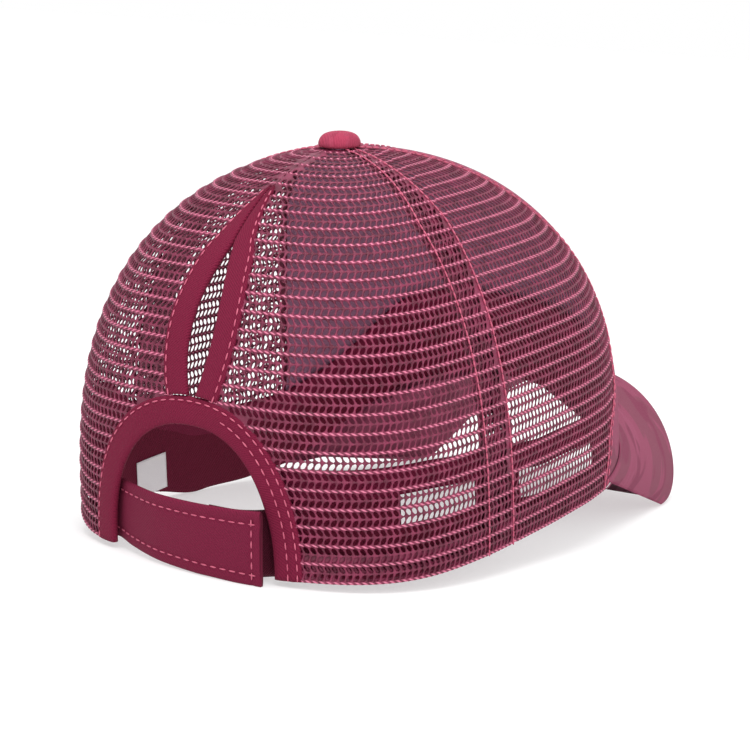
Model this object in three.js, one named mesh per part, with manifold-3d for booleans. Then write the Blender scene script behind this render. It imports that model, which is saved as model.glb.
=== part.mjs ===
// Ponytail baseball cap: a net crown with a cloth front, a slit and an arch at the back for a ponytail,
// a hook-and-loop strap and a curved peak. Millimetres, +Z up, peak towards -Y, wearer's left at +X.
// The crown is worked out upright on its rim plane, then tipped until the strap's free end and the
// peak's two tips stand on the floor.
import * as THREE from "three";
import { mergeVertices } from "three/addons/utils/BufferGeometryUtils.js";
import Module from "manifold-3d";

const wasm = await Module();
wasm.setup();

// Crown
const backReach = 96;
const frontReach = 105.5;
const halfWidth = 77;
const crownHeight = 127.2;
const planPower = 3.3;
const profilePower = 2.75;
const roundPower = 2;
const topShift = 8.4;
const rimDip = 10;
const sagFade = 4;
const netWall = 1;
const frontWall = 1.2;
const seamGap = 0.3;
const pieceGap = 0.3;
const sideSeamAngle = THREE.MathUtils.degToRad(76);
const frontSeamAngle = THREE.MathUtils.degToRad(118);

// Net strands and gaps
const sideColumns = 4;
const backColumns = 6;
const netRows = 6;
const strandShare = 0.36;
const netMargin = 2.5;
const climbSteps = 120;

// Seam tapes
const tapeWidth = 16;
const tapeTipWidth = 5;
const tapeTaper = 0.15;
const tapeWall = 0.6;

// Arch and slit for the ponytail
const archHalfWidth = 43;
const archHeight = 56;
const archPower = 2.3;
const bindingWidth = 9.5;
const bindingProud = 0.7;
const bindingInside = 1.7;
const slitTop = 104;
const slitBindingTop = 119;
const slitHalfGap = 4.8;
const slitFootHalfGap = 1.2;
const slitSwell = 0.85;
const bindingEndWidth = 4;
const cutProud = 2;
const cutGap = 0.45;
const archSteps = 28;
const slitSteps = 24;

// Strap and the tab under it
const strapWall = 2.2;
const strapStartHeight = 20.5;
const strapEndHeight = 26;
const strapStartLift = 1;
const strapEndLift = -2;
const strapBow = 12;
const strapLegDepth = 2.5;
const tabWall = 1.8;
const tabLift = -0.6;
const tabHeight = 23;

// Sweatband and its slots
const sweatHeight = 37;
const sweatWall = 1.1;
const sweatTape = 9.5;
const slotHeight = 10.5;
const sweatStep = 9;

// Peak
const peakHalfWidth = 58;
const peakTipReach = 134;
const peakReach = 176;
const peakWall = 3;
const peakRise = 23;
const peakFrontHeight = 11;
const peakTipDrop = 41;
const peakCurl = 0.92;
const peakRound = 2.3;
const peakEase = 0.25;

// Button
const buttonRadius = 7.5;
const buttonHeight = 5.5;
const buttonStem = 4.5;
const hubRadius = 6.5;

// Care label
const labelWidth = 18;
const labelHeight = 13.5;
const labelWall = 0.6;
const labelAngle = THREE.MathUtils.degToRad(-74);

// Standing on the floor
const legLift = 2.6;
const restFlat = 0.4;
const weld = 1e-4;

// Lower edge between leg and front seam: its dip on each side, in shares of rimDip
const rimEdge = [
  { along: 0, right: 0, left: 0 },
  { along: 0.3, right: 0.15, left: -0.6 },
  { along: 0.45, right: 0.13, left: 0.55 },
  { along: 0.7, right: 0.1, left: 1.3 },
  { along: 0.88, right: 0.05, left: 1.5 },
  { along: 1, right: 0, left: 1.45 },
];

// How far the seam between side and front bows forward on its way up, in degrees
const frontSeamBow = [
  { share: 0, right: 0, left: 0 },
  { share: 0.12, right: 2.5, left: 1 },
  { share: 0.3, right: 9.5, left: 2.5 },
  { share: 0.45, right: 14, left: 2.5 },
  { share: 0.6, right: 15, left: 2 },
  { share: 0.8, right: 12, left: 0 },
  { share: 1, right: 11, left: 0 },
];

// Top edge of the sweatband by angle, in shares of sweatHeight
const sweatEdge = [
  { angle: 30, height: 1.0 },
  { angle: 56, height: 1.04 },
  { angle: 68, height: 1.0 },
  { angle: 80, height: 0.92 },
  { angle: 96, height: 0.84 },
  { angle: 132, height: 0.78 },
  { angle: 152, height: 1.0 },
  { angle: 180, height: 0.96 },
];

// Angles on the wearer's right between which the sweatband is cut through below its top tape
const sweatSlots = [
  { from: 51, to: 70 },
  { from: 85, to: 116 },
];

// The strap's route from inside the left leg to its free end: across in shares of the arch's
// half width, out in shares of the strap's bow
const strapRoute = [
  { across: 0.93, out: 0 },
  { across: 0.8, out: 0.02 },
  { across: 0.6, out: 0.36 },
  { across: 0.25, out: 0.82 },
  { across: -0.15, out: 1.0 },
  { across: -0.5, out: 0.97 },
  { across: -0.76, out: 0.86 },
];
const tabRoute = [
  { across: -0.93, out: 0.18 },
  { across: -0.8, out: 0.2 },
  { across: -0.66, out: 0.62 },
  { across: -0.5, out: 0.88 },
  { across: -0.25, out: 0.94 },
];

// Outline of the button in shares of its radius and height
const buttonOutline = [
  { radius: 1, height: 0 },
  { radius: 1, height: 0.35 },
  { radius: 0.9, height: 0.72 },
  { radius: 0.6, height: 0.94 },
  { radius: 0, height: 1 },
];

const { lerp, clamp, smoothstep, degToRad, radToDeg } = THREE.MathUtils;

// A column of a table read between its rows, eased at each row
function readTable(table, key, at, column) {
  let next = 1;
  while (next < table.length - 1 && table[next][key] < at) next += 1;
  const from = table[next - 1];
  const to = table[next];
  return lerp(from[column], to[column], smoothstep(at, from[key], to[key]));
}

// Plan of the crown: angle runs from the centre back towards the wearer's right
function planPoint(angle) {
  const along = Math.cos(angle);
  const aside = Math.sin(angle);
  const round = (Math.abs(along) ** planPower + Math.abs(aside) ** planPower) ** (-1 / planPower);
  const reach = along > 0 ? backReach : frontReach;
  return { x: -halfWidth * aside * round, y: reach * along * round };
}

function crownSkin(angle, height) {
  const share = clamp(height / crownHeight, 0, 1);
  const narrow = (1 - share ** profilePower) ** (1 / roundPower);
  const plan = planPoint(angle);
  return new THREE.Vector3(plan.x * narrow, plan.y * narrow + topShift * share ** 1.5, height);
}

// A point of the crown, moved outwards by offset
function crownPoint(angle, height, offset) {
  const step = 0.01;
  const here = crownSkin(angle, height);
  const beside = crownSkin(angle + step, height).sub(crownSkin(angle - step, height));
  const above = crownSkin(angle, height + step).sub(crownSkin(angle, height - step));
  const out = beside.cross(above).normalize();
  return here.addScaledVector(out, offset);
}

// The angle that lies a distance along the rim direction away from another
function shiftAngle(angle, height, distance) {
  const step = 0.01;
  const reach = crownSkin(angle + step, height).distanceTo(crownSkin(angle - step, height)) / (2 * step);
  return angle + distance / Math.max(reach, 1);
}

// The angle at which the crown's back is a given distance aside of its middle
function angleAside(aside, height) {
  let low = 0;
  let high = Math.PI / 2;
  for (let turn = 0; turn < 40; turn += 1) {
    const middle = (low + high) / 2;
    if (Math.abs(crownSkin(middle, height).x) < aside) low = middle;
    else high = middle;
  }
  return (low + high) / 2;
}

// Lower edge of the crown: it sags along the sides and rises over the peak
const legAngle = angleAside(archHalfWidth, 0);
function rimHeight(angle) {
  const turn = Math.abs(angle);
  const along = Math.min((turn - legAngle) / (frontSeamAngle - legAngle), 1);
  const sag = -rimDip * readTable(rimEdge, "along", along, angle < 0 ? "left" : "right");
  if (turn < frontSeamAngle) return sag;
  const across = Math.abs(planPoint(turn).x / planPoint(frontSeamAngle).x);
  return sag * across ** sagFade + peakRise * (1 - across ** 2);
}

const hubHeight = crownHeight * (1 - (hubRadius / halfWidth) ** roundPower) ** (1 / profilePower);

// The height that lies a share of the way up the crown, measured along its skin
const climb = [{ height: 0, length: 0 }];
for (let n = 1; n <= climbSteps; n += 1) {
  const height = hubHeight * Math.sin((n / climbSteps) * (Math.PI / 2)) ** (2 / profilePower);
  const last = climb[n - 1];
  const step = crownSkin(sideSeamAngle, height).distanceTo(crownSkin(sideSeamAngle, last.height));
  climb.push({ height, length: last.length + step });
}

function heightAlong(share) {
  const wanted = share * climb[climbSteps].length;
  const next = Math.max(climb.findIndex((step) => step.length >= wanted), 1);
  const from = climb[next - 1];
  const to = climb[next];
  return lerp(from.height, to.height, (wanted - from.length) / (to.length - from.length));
}

// Outline of the arch and of the slit, half widths at a height
function archHalf(height) {
  return archHalfWidth * Math.max(1 - (height / archHeight) ** archPower, 0) ** (1 / archPower);
}

function archTopAt(aside, halfSpan, height) {
  return height * Math.max(1 - (aside / halfSpan) ** archPower, 0) ** (1 / archPower);
}

function slitHalf(height) {
  const share = clamp((height - archHeight) / (slitTop - archHeight), 0, 1);
  const foot = slitFootHalfGap * (1 - share);
  return Math.max(foot + (slitHalfGap - foot) * Math.sin(Math.PI * share ** slitSwell), seamGap / 2);
}

function slitOuterHalf(height) {
  const end = clamp((height - slitTop) / (slitBindingTop - slitTop), 0, 1);
  return slitHalf(height) + lerp(bindingWidth, bindingEndWidth, end);
}

// A closed wall between two grids of points, with cells left open where isGap says so
function gridSolid(outer, inner, isGap = () => false) {
  const columns = outer.length;
  const rows = outer[0].length;
  const positions = [];
  const index = [];
  const number = (layer, i, j) => (layer * columns + i) * rows + j;
  for (const layer of [outer, inner]) {
    for (const column of layer) {
      for (const point of column) positions.push(point.x, point.y, point.z);
    }
  }
  const quad = (a, b, c, d) => index.push(a, b, c, a, c, d);
  const solid = (i, j) => i >= 0 && j >= 0 && i < columns - 1 && j < rows - 1 && !isGap(i, j);
  const wall = (i0, j0, i1, j1) => {
    quad(number(0, i0, j0), number(0, i1, j1), number(1, i1, j1), number(1, i0, j0));
  };
  for (let i = 0; i < columns - 1; i += 1) {
    for (let j = 0; j < rows - 1; j += 1) {
      if (!solid(i, j)) continue;
      quad(number(0, i, j), number(0, i, j + 1), number(0, i + 1, j + 1), number(0, i + 1, j));
      quad(number(1, i, j), number(1, i + 1, j), number(1, i + 1, j + 1), number(1, i, j + 1));
      if (!solid(i - 1, j)) wall(i, j + 1, i, j);
      if (!solid(i + 1, j)) wall(i + 1, j, i + 1, j + 1);
      if (!solid(i, j - 1)) wall(i, j, i + 1, j);
      if (!solid(i, j + 1)) wall(i + 1, j + 1, i, j + 1);
    }
  }
  const geometry = new THREE.BufferGeometry();
  geometry.setAttribute("position", new THREE.Float32BufferAttribute(positions, 3));
  geometry.setIndex(index);
  return facingOut(mergeVertices(geometry.toNonIndexed(), weld));
}

function facingOut(geometry) {
  const points = geometry.getAttribute("position");
  const order = geometry.getIndex().array;
  const corner = [new THREE.Vector3(), new THREE.Vector3(), new THREE.Vector3()];
  let volume = 0;
  for (let k = 0; k < order.length; k += 3) {
    corner.forEach((point, n) => point.fromBufferAttribute(points, order[k + n]));
    volume += corner[0].dot(corner[1].clone().cross(corner[2]));
  }
  if (volume < 0) {
    const turned = Array.from(order);
    for (let k = 0; k < turned.length; k += 3) {
      [turned[k + 1], turned[k + 2]] = [turned[k + 2], turned[k + 1]];
    }
    geometry.setIndex(turned);
  }
  return geometry;
}

// Tips the upright cap about its legs, which end just above the floor that the peak's tips reach
const legReach = crownSkin(angleAside(archHalfWidth - bindingWidth / 2, 0), 0).y;
const tipFall = peakTipDrop - peakFrontHeight - legLift;
const tilt = Math.atan2(tipFall, legReach + peakTipReach);

function settle(point) {
  const away = point.y - legReach;
  const y = away * Math.cos(tilt) + point.z * Math.sin(tilt) + legReach;
  const z = point.z * Math.cos(tilt) - away * Math.sin(tilt) + legLift - restFlat;
  return new THREE.Vector3(point.x, y, z);
}

function settledGrid(columns, rows, pointAt) {
  const make = (layer) =>
    Array.from({ length: columns + 1 }, (_, i) =>
      Array.from({ length: rows + 1 }, (__, j) => settle(pointAt(i / columns, j / rows, layer, i, j))),
    );
  return [make(0), make(1)];
}

function settleGeometry(geometry) {
  const points = geometry.getAttribute("position");
  const point = new THREE.Vector3();
  for (let n = 0; n < points.count; n += 1) {
    const moved = settle(point.fromBufferAttribute(points, n));
    points.setXYZ(n, moved.x, moved.y, moved.z);
  }
  return geometry;
}

// Cuts off whatever would reach below the floor
function onFloor(geometry) {
  const size = 6 * Math.max(peakReach, halfWidth);
  const block = new THREE.BoxGeometry(size, size, size).translate(0, 0, -size / 2);
  return fromManifold(asManifold(geometry).subtract(asManifold(block)));
}

function fromManifold(solid) {
  const kept = solid.getMesh();
  const cut = new THREE.BufferGeometry();
  cut.setAttribute("position", new THREE.Float32BufferAttribute(kept.vertProperties, kept.numProp));
  cut.setIndex(Array.from(kept.triVerts));
  return cut;
}

function asManifold(geometry) {
  const bare = geometry.clone();
  bare.deleteAttribute("normal");
  bare.deleteAttribute("uv");
  const merged = mergeVertices(bare, weld);
  return new wasm.Manifold(
    new wasm.Mesh({
      numProp: 3,
      vertProperties: new Float32Array(merged.getAttribute("position").array),
      triVerts: new Uint32Array(merged.getIndex().array),
    }),
  );
}

const cap = new THREE.Group();

const finishes = {
  net: { color: 0x8a2347, roughness: 0.45, metalness: 0 },
  camouflage: { color: 0x9c5570, roughness: 0.85, metalness: 0 },
  binding: { color: 0x8a2346, roughness: 0.8, metalness: 0 },
  lining: { color: 0x5c1a30, roughness: 0.9, metalness: 0 },
  button: { color: 0xcd5573, roughness: 0.8, metalness: 0 },
  label: { color: 0xf0efec, roughness: 0.7, metalness: 0 },
};

function add(name, geometry, finish) {
  geometry.computeBoundingBox();
  const standing = geometry.boundingBox.min.z < 0 ? onFloor(geometry) : geometry;
  standing.computeVertexNormals();
  const mesh = new THREE.Mesh(standing, new THREE.MeshStandardMaterial(finishes[finish]));
  mesh.name = name;
  cap.add(mesh);
}

// A panel of the crown between two edges, each a function of height
function panel(side, startAngle, endAngle, heights, columns, wall, isGap) {
  const rows = heights.length - 1;
  const [outer, inner] = settledGrid(columns.length - 1, rows, (u, v, layer, i, j) => {
    const share = columns[i];
    const start = startAngle(heights[j]);
    const end = endAngle(heights[j]);
    const angle = lerp(start, end, share);
    const foot = rimHeight(side * angle);
    const height = foot + (heights[j] * (hubHeight - foot)) / hubHeight;
    return crownPoint(side * angle, height, layer === 0 ? 0 : -wall);
  });
  return gridSolid(outer, inner, isGap);
}

// Strand and gap shares that alternate, strands at both ends, each gap with a bend in its middle
function netShares(count) {
  const pitch = 1 / (count + strandShare);
  const shares = [0];
  for (let n = 0; n < count; n += 1) {
    shares.push((n + strandShare) * pitch, (n + (1 + strandShare) / 2) * pitch, (n + 1) * pitch);
  }
  shares.push(1);
  return shares;
}

const isNetGap = (i, j) => i % 3 !== 0 && j % 3 !== 0;
const firstOfGap = (n) => n - (n % 3) + 1;
const netHeights = netShares(netRows).map(heightAlong);

// Net panels at the sides and the back
function seamEdge(angle, away) {
  return (height) => shiftAngle(angle, height, (away * seamGap) / 2);
}

function frontSeamEdge(sideName, away) {
  return (height) => {
    const bow = readTable(frontSeamBow, "share", height / hubHeight, sideName);
    return seamEdge(frontSeamAngle + degToRad(bow), away)(height);
  };
}

// How far aside the bindings reach at a height
function bindingReach(height) {
  if (height < archHeight) return Math.max(archHalf(height), slitOuterHalf(archHeight));
  return height < slitBindingTop ? slitOuterHalf(height) : 0;
}

// A gap of the back panel stays closed where it would come too near the bindings
const backShares = netShares(backColumns);
function isBackGap(i, j) {
  if (!isNetGap(i, j)) return false;
  const lower = netHeights[firstOfGap(j)] - netMargin;
  const middle = shiftAngle(0, lower, seamGap / 2);
  const angle = lerp(middle, sideSeamAngle, backShares[firstOfGap(i)]);
  return Math.abs(crownSkin(angle, lower).x) > bindingReach(Math.max(lower, 0)) + netMargin;
}

// Room for the arch and the slit with their bindings, cut through the back panels
const archRoom = gridSolid(
  ...settledGrid(12, archSteps, (u, v, layer, i, j) => {
    const turn = (Math.max(j - 1, 0) / (archSteps - 1)) * (Math.PI / 2);
    const half = (archHalfWidth + cutGap) * Math.cos(turn) ** (2 / archPower);
    const aside = (2 * u - 1) * Math.max(half, slitFootHalfGap);
    const height = j === 0 ? -rimDip : (archHeight + cutGap) * Math.sin(turn) ** (2 / archPower);
    const angle = Math.sign(aside) * angleAside(Math.abs(aside), height);
    return crownPoint(angle, height, layer === 0 ? cutProud : -cutProud - netWall);
  }),
);
const slitRoom = gridSolid(
  ...settledGrid(6, slitSteps, (u, v, layer) => {
    const height = lerp(archHeight - bindingWidth, slitBindingTop, v);
    const aside = (2 * u - 1) * (slitOuterHalf(height) + cutGap);
    const angle = Math.sign(aside) * angleAside(Math.abs(aside), height);
    return crownPoint(angle, height, layer === 0 ? cutProud : -cutProud - netWall);
  }),
);

function withRoom(geometry, rooms) {
  let solid = asManifold(geometry);
  for (const room of rooms) solid = solid.subtract(asManifold(room));
  return fromManifold(solid);
}

for (const [sideName, side] of [["right", 1], ["left", -1]]) {
  add(
    `side_net_${sideName}`,
    panel(side, seamEdge(sideSeamAngle, 1), frontSeamEdge(sideName, -1), netHeights,
      netShares(sideColumns), netWall, isNetGap),
    "net",
  );
  add(
    `back_net_${sideName}`,
    withRoom(
      panel(side, seamEdge(0, 1), seamEdge(sideSeamAngle, -1), netHeights, backShares, netWall,
        isBackGap),
      [archRoom, slitRoom],
    ),
    "net",
  );
}

// Cloth front panels, with the net's heights so that their shared seam matches
const frontColumns = Array.from({ length: 9 }, (_, n) => n / 8);
for (const [sideName, side] of [["right", 1], ["left", -1]]) {
  add(
    `front_panel_${sideName}`,
    panel(side, frontSeamEdge(sideName, 1), seamEdge(Math.PI, -1), netHeights, frontColumns,
      frontWall),
    "camouflage",
  );
}

// Tape of doubled net behind each seam between side and back
const tapeDepth = netWall + pieceGap;
for (const [sideName, side] of [["right", 1], ["left", -1]]) {
  const [outer, inner] = settledGrid(3, 14, (u, v, layer) => {
    const height = lerp(rimHeight(side * sideSeamAngle), heightAlong(v), Math.min(2 * v, 1));
    const left = clamp((hubHeight - height) / (tapeTaper * crownHeight), 0, 1);
    const angle = shiftAngle(sideSeamAngle, height, (u - 0.5) * lerp(tapeTipWidth, tapeWidth, left));
    return crownPoint(side * angle, height, -tapeDepth - layer * tapeWall);
  });
  add(`seam_tape_${sideName}`, gridSolid(outer, inner), "net");
}

// Binding round the arch, from leg to leg
{
  const [outer, inner] = settledGrid(32, 3, (u, v, layer) => {
    const turn = u * Math.PI;
    const halfSpan = archHalfWidth - v * bindingWidth;
    const top = archHeight - v * bindingWidth;
    const aside = halfSpan * Math.abs(Math.cos(turn)) ** (2 / archPower);
    const height = top * Math.abs(Math.sin(turn)) ** (2 / archPower);
    const angle = Math.sign(Math.cos(turn)) * angleAside(aside, height);
    return crownPoint(angle, height, layer === 0 ? bindingProud : -bindingInside);
  });
  add("arch_binding", gridSolid(outer, inner), "binding");
}

// Bindings along both edges of the slit
for (const [sideName, side] of [["right", 1], ["left", -1]]) {
  const [outer, inner] = settledGrid(3, 16, (u, v, layer) => {
    const footAside = slitFootHalfGap + u * bindingWidth;
    const foot = archTopAt(footAside, archHalfWidth, archHeight) + pieceGap;
    const height = lerp(foot, slitBindingTop - pieceGap, v);
    const aside = lerp(slitHalf(height), slitOuterHalf(height), u);
    return crownPoint(side * angleAside(aside, height), height,
      layer === 0 ? bindingProud : -bindingInside);
  });
  add(`slit_binding_${sideName}`, gridSolid(outer, inner), "binding");
}

// Strap and tab: upright bands along a curve
function band(route, start, end, wall, behind) {
  const points = route.map(
    ({ across, out }) =>
      new THREE.Vector3(across * archHalfWidth, legReach - strapLegDepth + out * strapBow, 0),
  );
  const curve = new THREE.CatmullRomCurve3(points);
  const [outer, inner] = settledGrid(16, 2, (u, v, layer) => {
    const point = curve.getPoint(u);
    const along = curve.getTangent(u);
    const out = new THREE.Vector3(along.y, -along.x, 0).normalize();
    if (out.y < 0) out.negate();
    point.addScaledVector(out, -behind - layer * wall);
    point.z = lerp(start.lift, end.lift, u) + v * lerp(start.height, end.height, u);
    return point;
  });
  return gridSolid(outer, inner);
}

const strapStart = { lift: strapStartLift, height: strapStartHeight };
const strapEnd = { lift: strapEndLift, height: strapEndHeight };
add("strap", band(strapRoute, strapStart, strapEnd, strapWall, 0), "binding");
const tabEnds = { lift: tabLift, height: tabHeight };
add("strap_tab", band(tabRoute, tabEnds, tabEnds, tabWall, strapWall + pieceGap), "lining");

// Sweatband inside the rim, from leg to leg round the front
function sweatTop(angle) {
  const share = readTable(sweatEdge, "angle", radToDeg(Math.abs(angle)), "height");
  return sweatHeight * share + rimHeight(angle);
}

const sweatDepth = netWall + tapeWall + 3 * pieceGap;
const sweatStart = radToDeg(shiftAngle(legAngle, 0, 2 * pieceGap));
const sweatMarks = [sweatStart, ...sweatSlots.flatMap(({ from, to }) => [from, to]), 180];

// Angles of the sweatband's columns, with a column edge at each end of a slot
const sweatHalf = sweatMarks.slice(1).flatMap((mark, n) => {
  const steps = Math.ceil((mark - sweatMarks[n]) / sweatStep);
  return Array.from({ length: steps }, (_, k) => lerp(sweatMarks[n], mark, k / steps));
});
const sweatAngles = [...sweatHalf, 180, ...sweatHalf.toReversed().map((angle) => 360 - angle)];
{
  const [outer, inner] = settledGrid(sweatAngles.length - 1, 4, (u, v, layer, i, j) => {
    const turn = sweatAngles[i];
    const angle = degToRad(turn > 180 ? turn - 360 : turn);
    const top = sweatTop(angle);
    const foot = rimHeight(angle) + pieceGap;
    const slotTop = top - sweatTape;
    const slotFoot = slotTop - slotHeight;
    const levels = [foot, (foot + slotFoot) / 2, slotFoot, slotTop, top];
    return crownPoint(angle, levels[j], -sweatDepth - layer * sweatWall);
  });
  const isSlot = (i, j) => {
    const turn = (sweatAngles[i] + sweatAngles[i + 1]) / 2;
    return j === 2 && sweatSlots.some(({ from, to }) => turn > from && turn < to);
  };
  add("sweatband", gridSolid(outer, inner, isSlot), "lining");
}

// Peak: ruled from the rim over the forehead to its curved front edge
function peakEdge(share) {
  const turn = (Math.abs(share) * Math.PI) / 2;
  const x = Math.sign(share) * peakHalfWidth * Math.sin(turn) ** (2 / peakRound);
  const reach = peakTipReach + (peakReach - peakTipReach) * Math.cos(turn) ** (2 / peakRound);
  const curl = (amount) => 1 - Math.sqrt(1 - (peakCurl * amount) ** 2);
  const z = peakFrontHeight - (peakTipDrop * curl(Math.abs(x) / peakHalfWidth)) / curl(1);
  return new THREE.Vector3(x, -reach, z);
}

function peakRoot(share) {
  const angle = Math.PI + share * (Math.PI - frontSeamAngle);
  const height = rimHeight(angle > Math.PI ? angle - 2 * Math.PI : angle);
  return crownPoint(angle, height + peakWall, pieceGap);
}

function peakSkin(across, along) {
  return peakRoot(across).lerp(peakEdge(across), along);
}

{
  const [outer, inner] = settledGrid(28, 8, (u, v, layer) => {
    const across = lerp(-1, 1, u);
    const step = 0.01;
    const here = peakSkin(across, v);
    if (layer === 0) return here;
    const beside = peakSkin(Math.min(across + step, 1), v).sub(peakSkin(Math.max(across - step, -1), v));
    const ahead = peakSkin(across, v + step).sub(peakSkin(across, v - step));
    const up = ahead.cross(beside).normalize();
    const upright = new THREE.Vector3(0, 0, 1);
    up.lerp(upright, 1 - Math.min(v / peakEase, 1)).normalize();
    return here.addScaledVector(up, -peakWall);
  });
  add("peak", gridSolid(outer, inner), "camouflage");
}

// Button on top
{
  const seat = crownSkin(0, hubHeight).z + pieceGap;
  const stem = [
    new THREE.Vector2(0, -netWall - pieceGap),
    new THREE.Vector2(buttonStem, -netWall - pieceGap),
    new THREE.Vector2(buttonStem, 0),
  ];
  const dome = buttonOutline.map(
    ({ radius, height }) => new THREE.Vector2(radius * buttonRadius, height * buttonHeight),
  );
  const geometry = new THREE.LatheGeometry([...stem, ...dome], 24);
  geometry.rotateX(Math.PI / 2);
  geometry.translate(0, topShift, seat);
  geometry.deleteAttribute("normal");
  geometry.deleteAttribute("uv");
  add("button", facingOut(settleGeometry(mergeVertices(geometry, weld))), "button");
}

// Care label on the inside of the sweatband
{
  const foot = rimHeight(labelAngle) + pieceGap;
  const [outer, inner] = settledGrid(4, 3, (u, v, layer) => {
    const height = foot + labelHeight * v;
    const angle = shiftAngle(labelAngle, height, (u - 0.5) * labelWidth);
    return crownPoint(angle, height, -sweatDepth - sweatWall - pieceGap - layer * labelWall);
  });
  add("care_label", gridSolid(outer, inner), "label");
}

// The origin lies on the floor below the middle of the cap
const box = new THREE.Box3().setFromObject(cap);
const middle = box.getCenter(new THREE.Vector3());
cap.position.set(-middle.x, -middle.y, -box.min.z);

export default cap;
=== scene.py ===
import math

import bmesh
import bpy
from mathutils import Matrix, Vector


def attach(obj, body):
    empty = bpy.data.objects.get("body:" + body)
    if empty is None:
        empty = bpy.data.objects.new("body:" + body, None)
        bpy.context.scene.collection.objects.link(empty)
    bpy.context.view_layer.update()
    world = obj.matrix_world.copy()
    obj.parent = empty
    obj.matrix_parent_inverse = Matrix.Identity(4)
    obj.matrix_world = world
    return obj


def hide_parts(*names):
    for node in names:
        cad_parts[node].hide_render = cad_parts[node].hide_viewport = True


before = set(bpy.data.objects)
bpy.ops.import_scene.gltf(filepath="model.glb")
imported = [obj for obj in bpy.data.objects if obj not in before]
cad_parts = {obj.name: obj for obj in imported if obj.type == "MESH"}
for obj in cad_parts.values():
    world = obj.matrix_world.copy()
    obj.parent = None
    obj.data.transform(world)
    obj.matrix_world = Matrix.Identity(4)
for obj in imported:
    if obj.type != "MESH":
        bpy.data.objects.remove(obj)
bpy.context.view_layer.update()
print("frame loaded:", len(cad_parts), "nodes")

# the crown stands upright on its rim plane, in millimetres, and is tipped by settle()
crown = {
    "backReach": 96, "frontReach": 105.5, "halfWidth": 77, "height": 127.2,
    "planPower": 3.3, "profilePower": 2.75, "roundPower": 2, "topShift": 8.4,
    "hubRadius": 4, "rimDip": 10, "sagFade": 4, "peakRise": 23,
    "sideSeam": math.radians(76), "frontSeam": math.radians(118),
}
stance = {"legLift": 2.6, "restFlat": 0.4, "tipFall": 27.4, "tipReach": 134, "shiftBack": 33.727}
arch = {"halfWidth": 43, "height": 56, "power": 2.3, "width": 9.5, "proud": 0.95, "inside": 1.7,
        "ripple": 0.07, "columns": 150, "ring": 36, "row": 1.5, "secondRow": 4.6, "secondEnd": 0.4}
slit = {"top": 104, "bindingTop": 119, "halfGap": 4.8, "footHalfGap": 1.2, "swell": 0.85,
        "endWidth": 0.9, "taperFrom": 101, "length": 80, "columns": 64, "row": 1.5, "endGap": 0.3}

# dip of the rim between leg and front seam, in shares of rimDip: along, wearer's right, wearer's left
rimEdge = [(0, 0, 0), (0.3, 0.15, -0.6), (0.45, 0.13, 0.55), (0.7, 0.1, 1.3), (0.88, 0.05, 1.5),
           (1, 0, 1.45)]

# how far the front seam bows forward on its way up: share of the height, degrees right, degrees left
seamBow = [(0, 0, 0), (0.12, 2.5, 1), (0.3, 9.5, 2.5), (0.45, 14, 2.5), (0.6, 15, 2), (0.8, 12, 0),
           (1, 11, 0)]


def mix(a, b, share):
    return a + (b - a) * share


def clamp(value, low=0.0, high=1.0):
    return max(low, min(high, value))


def smooth(share):
    share = clamp(share)
    return share * share * (3 - 2 * share)


def readTable(table, at, column):
    after = 1
    while after < len(table) - 1 and table[after][0] < at:
        after += 1
    start, end = table[after - 1], table[after]
    return mix(start[column], end[column], smooth((at - start[0]) / (end[0] - start[0])))


# the angle runs from the centre back towards the wearer's right
def planPoint(angle):
    along, aside = math.cos(angle), math.sin(angle)
    power = crown["planPower"]
    rounded = (abs(along) ** power + abs(aside) ** power) ** (-1 / power)
    reach = crown["backReach"] if along > 0 else crown["frontReach"]
    return -crown["halfWidth"] * aside * rounded, reach * along * rounded


def crownSkin(angle, height):
    share = clamp(height / crown["height"])
    narrow = (1 - share ** crown["profilePower"]) ** (1 / crown["roundPower"])
    x, y = planPoint(angle)
    return Vector((x * narrow, y * narrow + crown["topShift"] * share ** 1.5, height))


def crownPoint(angle, height, offset):
    step = 0.01
    beside = crownSkin(angle + step, height) - crownSkin(angle - step, height)
    above = crownSkin(angle, height + step) - crownSkin(angle, height - step)
    return crownSkin(angle, height) + beside.cross(above).normalized() * offset


def shiftAngle(angle, height, distance):
    step = 0.01
    reach = (crownSkin(angle + step, height) - crownSkin(angle - step, height)).length / (2 * step)
    return angle + distance / max(reach, 1)


def angleAside(aside, height):
    low, high = 0.0, math.pi / 2
    for _ in range(30):
        middle = (low + high) / 2
        if abs(crownSkin(middle, height).x) < aside:
            low = middle
        else:
            high = middle
    return (low + high) / 2


legAngle = angleAside(arch["halfWidth"], 0)
hubShare = 1 - (crown["hubRadius"] / crown["halfWidth"]) ** crown["roundPower"]
hubHeight = crown["height"] * hubShare ** (1 / crown["profilePower"])


def rimHeight(angle):
    turn = abs(angle)
    along = min((turn - legAngle) / (crown["frontSeam"] - legAngle), 1)
    sag = -crown["rimDip"] * readTable(rimEdge, along, 2 if angle < 0 else 1)
    if turn < crown["frontSeam"]:
        return sag
    across = abs(planPoint(turn)[0] / planPoint(crown["frontSeam"])[0])
    return sag * across ** crown["sagFade"] + crown["peakRise"] * (1 - across ** 2)


# a level of the skin, moved up or down with the rim below it
def fromRim(angle, level):
    foot = rimHeight(angle)
    return foot + level * (hubHeight - foot) / hubHeight


def frontSeamAt(height, side):
    bow = readTable(seamBow, height / hubHeight, 2 if side < 0 else 1)
    return crown["frontSeam"] + math.radians(bow)


# heights against distances along the skin
climb = [(0.0, 0.0)]
climbSteps = 160
for n in range(1, climbSteps + 1):
    height = hubHeight * math.sin(n / climbSteps * math.pi / 2) ** (2 / crown["profilePower"])
    step = (crownSkin(crown["sideSeam"], height) - crownSkin(crown["sideSeam"], climb[-1][1])).length
    climb.append((climb[-1][0] + step, height))
skinLength = climb[-1][0]


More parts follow.
